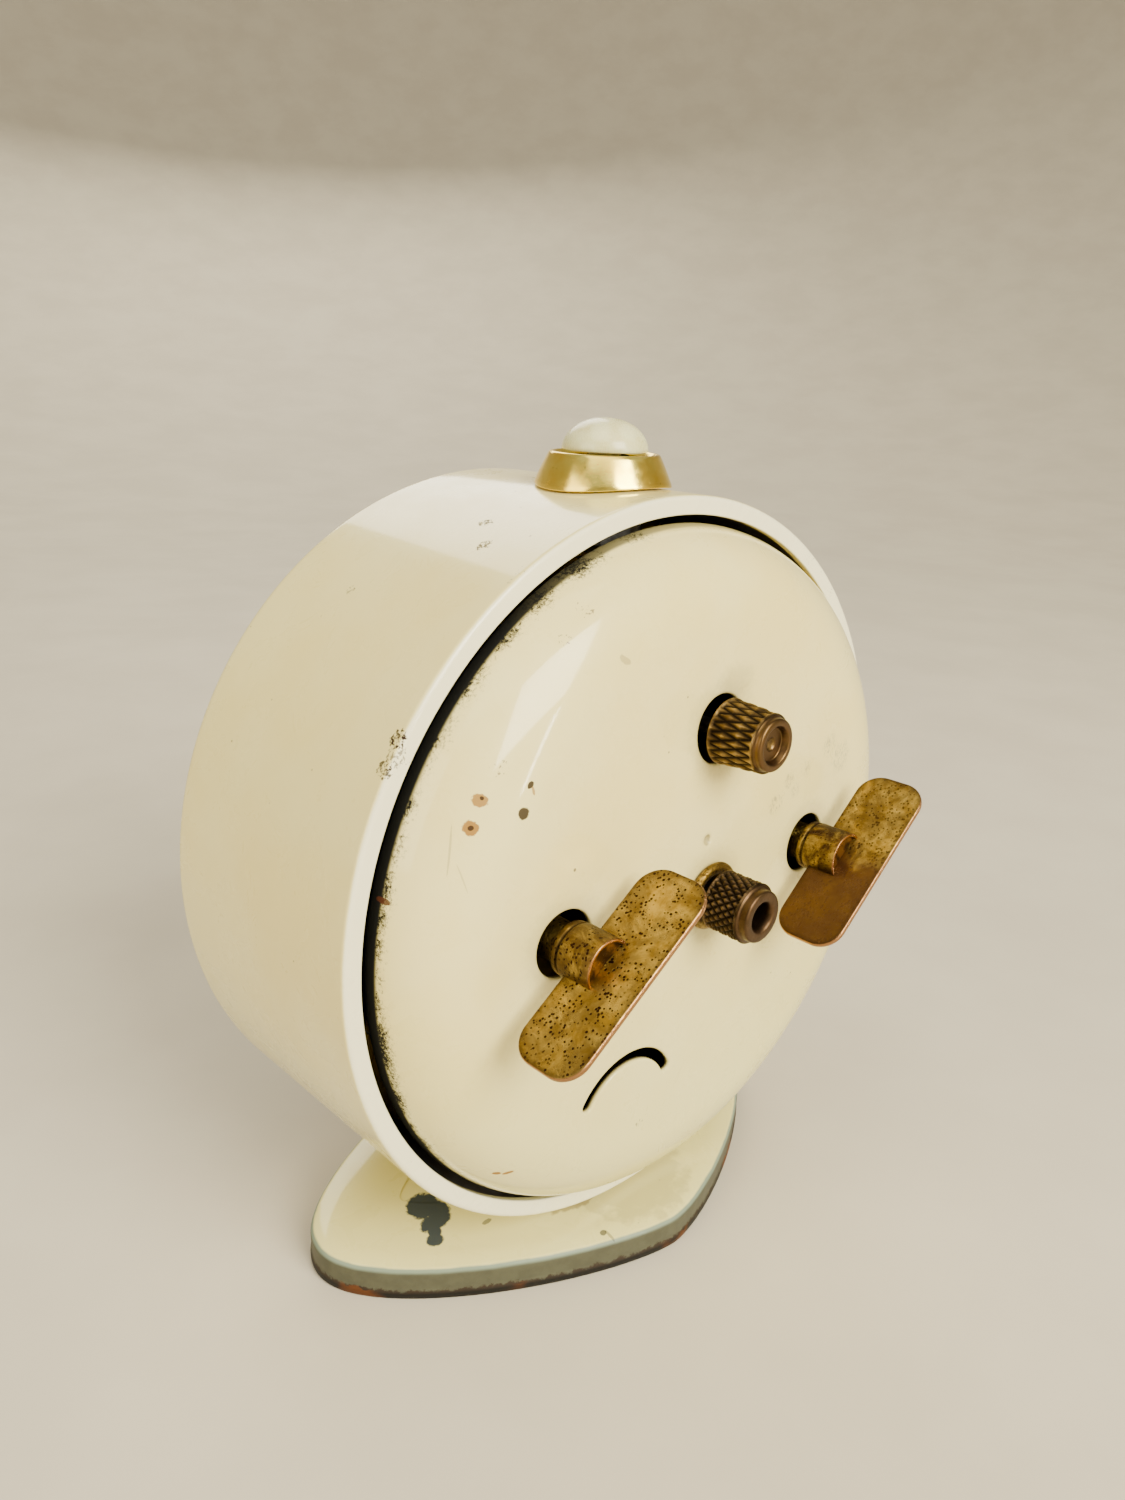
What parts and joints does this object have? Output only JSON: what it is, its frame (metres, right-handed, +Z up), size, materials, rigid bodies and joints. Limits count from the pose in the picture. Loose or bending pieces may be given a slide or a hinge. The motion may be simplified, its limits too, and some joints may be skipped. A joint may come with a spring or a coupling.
{
  "type": "wind-up alarm clock",
  "caption": "Drum-shaped wind-up alarm clock with a domed bell back, plate keys, setting knobs, a top stop button and a pressed lozenge foot.",
  "frame": {"origin": "on the table, under the centre of the clock's bounding box", "axes": "+Z up, the dial faces -Y and the bell back with the keys faces +Y"},
  "size_m": [0.1, 0.0642, 0.1144],
  "materials": {
    "enamel": "gloss enamel, aged",
    "brass": "aged",
    "steel": "satin",
    "ivory": "gloss",
    "lens": "clear",
    "dial": "matt",
    "blued": "blued"
  },
  "bodies": {
    "case": {"case_shell": "enamel", "front_bezel": "brass", "glass_lens": "lens", "dial_plate": "dial", "back_cover": "enamel", "cover_ferrule": "brass", "foot_pan": "enamel", "foot_screw_rear": "steel", "foot_screw_front": "steel", "foot_nut_rear": "steel", "foot_nut_front": "steel", "button_collar": "brass", "button_guide": "steel", "stop_button_spring": "steel", "movement_front_plate": "brass", "movement_back_plate": "brass", "movement_ring": "steel", "pillar_1": "steel", "pillar_2": "steel", "pillar_3": "steel", "pillar_4": "steel", "time_mainspring": "steel", "alarm_mainspring": "steel", "hairspring": "steel", "balance_pivot_front": "steel", "balance_pivot_back": "steel", "minute_stud": "steel"},
    "time_key": {"time_key_stem": "brass", "time_key_plate": "brass", "time_arbor": "steel"},
    "alarm_key": {"alarm_key_stem": "brass", "alarm_key_plate": "brass", "alarm_arbor": "steel"},
    "time_setting": {"time_set_knob": "brass", "centre_arbor": "steel", "minute_hand": "blued"},
    "minute_gear": {"minute_wheel": "brass"},
    "hour_gear": {"hour_wheel": "brass", "hour_hand": "blued"},
    "alarm_setting": {"alarm_set_knob": "brass", "alarm_set_arbor": "steel"},
    "alarm_gear": {"alarm_wheel": "brass", "alarm_hand": "brass"},
    "fourth": {"fourth_wheel": "brass"},
    "third": {"third_wheel": "brass"},
    "centre": {"centre_wheel": "brass"},
    "time_great": {"time_great_wheel": "brass"},
    "escape": {"escape_wheel": "brass"},
    "time_pawl": {"time_click": "steel"},
    "alarm_pawl": {"alarm_click": "steel"},
    "lever": {"pallet_lever": "steel"},
    "balance": {"balance_wheel": "brass"},
    "regulator": {"regulator_lever": "steel"},
    "alarm_great": {"alarm_great_wheel": "brass"},
    "strike": {"alarm_escape_wheel": "brass"},
    "striker": {"hammer_arbor": "steel", "hammer": "steel"},
    "button": {"stop_button": "ivory"}
  },
  "joints": [
    {"name": "time_wind", "type": "hinge", "parent": "case", "child": "time_key", "pos_m": [0.0255, 0.0109, 0.0572], "axis": [0, -1, 0], "range_deg": [0, 2430]},
    {"name": "alarm_wind", "type": "hinge", "parent": "case", "child": "alarm_key", "pos_m": [-0.0217, 0.0109, 0.0576], "axis": [0, 1, 0], "range_deg": [0, 1530]},
    {"name": "time_set", "type": "hinge", "parent": "case", "child": "time_setting", "pos_m": [0, 0.0109, 0.0561], "axis": [0, 1, 0], "continuous": true},
    {"name": "minute_wheel_turn", "type": "hinge", "parent": "case", "child": "minute_gear", "pos_m": [-0.00943, 0.0109, 0.05171], "axis": [0, 1, 0], "continuous": true},
    {"name": "hour_turn", "type": "hinge", "parent": "case", "child": "hour_gear", "pos_m": [0, 0.0109, 0.0561], "axis": [0, 1, 0], "continuous": true},
    {"name": "alarm_set", "type": "hinge", "parent": "case", "child": "alarm_setting", "pos_m": [0, 0.0109, 0.0785], "axis": [0, 1, 0], "continuous": true},
    {"name": "alarm_hand_turn", "type": "hinge", "parent": "case", "child": "alarm_gear", "pos_m": [0, 0.0109, 0.0561], "axis": [0, 1, 0], "continuous": true},
    {"name": "fourth_turn", "type": "hinge", "parent": "case", "child": "fourth", "pos_m": [-0.01038, 0.0109, 0.03585], "axis": [0, 1, 0], "continuous": true},
    {"name": "third_turn", "type": "hinge", "parent": "case", "child": "third", "pos_m": [0.00237, 0.0109, 0.03927], "axis": [0, 1, 0], "continuous": true},
    {"name": "centre_turn", "type": "hinge", "parent": "case", "child": "centre", "pos_m": [0, 0.0109, 0.0561], "axis": [0, 1, 0], "continuous": true},
    {"name": "great_turn", "type": "hinge", "parent": "case", "child": "time_great", "pos_m": [0.0255, 0.0109, 0.0572], "axis": [0, 1, 0], "continuous": true},
    {"name": "escape_turn", "type": "hinge", "parent": "case", "child": "escape", "pos_m": [-0.00155, 0.0109, 0.02604], "axis": [0, 1, 0], "continuous": true},
    {"name": "time_click_lift", "type": "hinge", "parent": "time_great", "child": "time_pawl", "pos_m": [0.01922, 0.0109, 0.06524], "axis": [0, -1, 0], "range_deg": [0, 12]},
    {"name": "alarm_click_lift", "type": "hinge", "parent": "alarm_great", "child": "alarm_pawl", "pos_m": [-0.0164, 0.0109, 0.06438], "axis": [0, 1, 0], "range_deg": [0, 12]},
    {"name": "lever_rock", "type": "hinge", "parent": "case", "child": "lever", "pos_m": [0.00497, 0.0109, 0.02379], "axis": [0, 1, 0], "range_deg": [-5, 5]},
    {"name": "balance_swing", "type": "hinge", "parent": "case", "child": "balance", "pos_m": [0.0127, 0.0109, 0.0284], "axis": [0, 1, 0], "range_deg": [-150, 150], "stiffness_Nm_per_rad": 0.00002},
    {"name": "regulate", "type": "hinge", "parent": "case", "child": "regulator", "pos_m": [0.0127, 0.0109, 0.0284], "axis": [0, 1, 0], "range_deg": [-25, 25]},
    {"name": "alarm_great_turn", "type": "hinge", "parent": "case", "child": "alarm_great", "pos_m": [-0.0217, 0.0109, 0.0576], "axis": [0, 1, 0], "continuous": true},
    {"name": "strike_turn", "type": "hinge", "parent": "case", "child": "strike", "pos_m": [-0.02422, 0.0109, 0.0719], "axis": [0, 1, 0], "continuous": true},
    {"name": "hammer_swing", "type": "hinge", "parent": "case", "child": "striker", "pos_m": [-0.02037, 0.0109, 0.07914], "axis": [0, 1, 0], "range_deg": [-4, 4]},
    {"name": "stop_press", "type": "slide", "parent": "case", "child": "button", "axis": [0, 0, -1], "range_m": [0, 0.0035], "stiffness_N_per_m": 400, "springref_m": -0.0015, "deforming": ["stop_button_spring"]}
  ],
  "couplings": [
    {"joint": "minute_wheel_turn", "follows": "time_set", "ratio": -0.33333},
    {"joint": "hour_turn", "follows": "time_set", "ratio": 0.083333},
    {"joint": "alarm_hand_turn", "follows": "alarm_set", "ratio": -0.33333},
    {"joint": "third_turn", "follows": "fourth_turn", "ratio": -0.14583},
    {"joint": "centre_turn", "follows": "fourth_turn", "ratio": 0.019444},
    {"joint": "great_turn", "follows": "fourth_turn", "ratio": -0.0048611},
    {"joint": "escape_turn", "follows": "fourth_turn", "ratio": -6.8571},
    {"joint": "strike_turn", "follows": "alarm_great_turn", "ratio": -4.5}
  ]
}
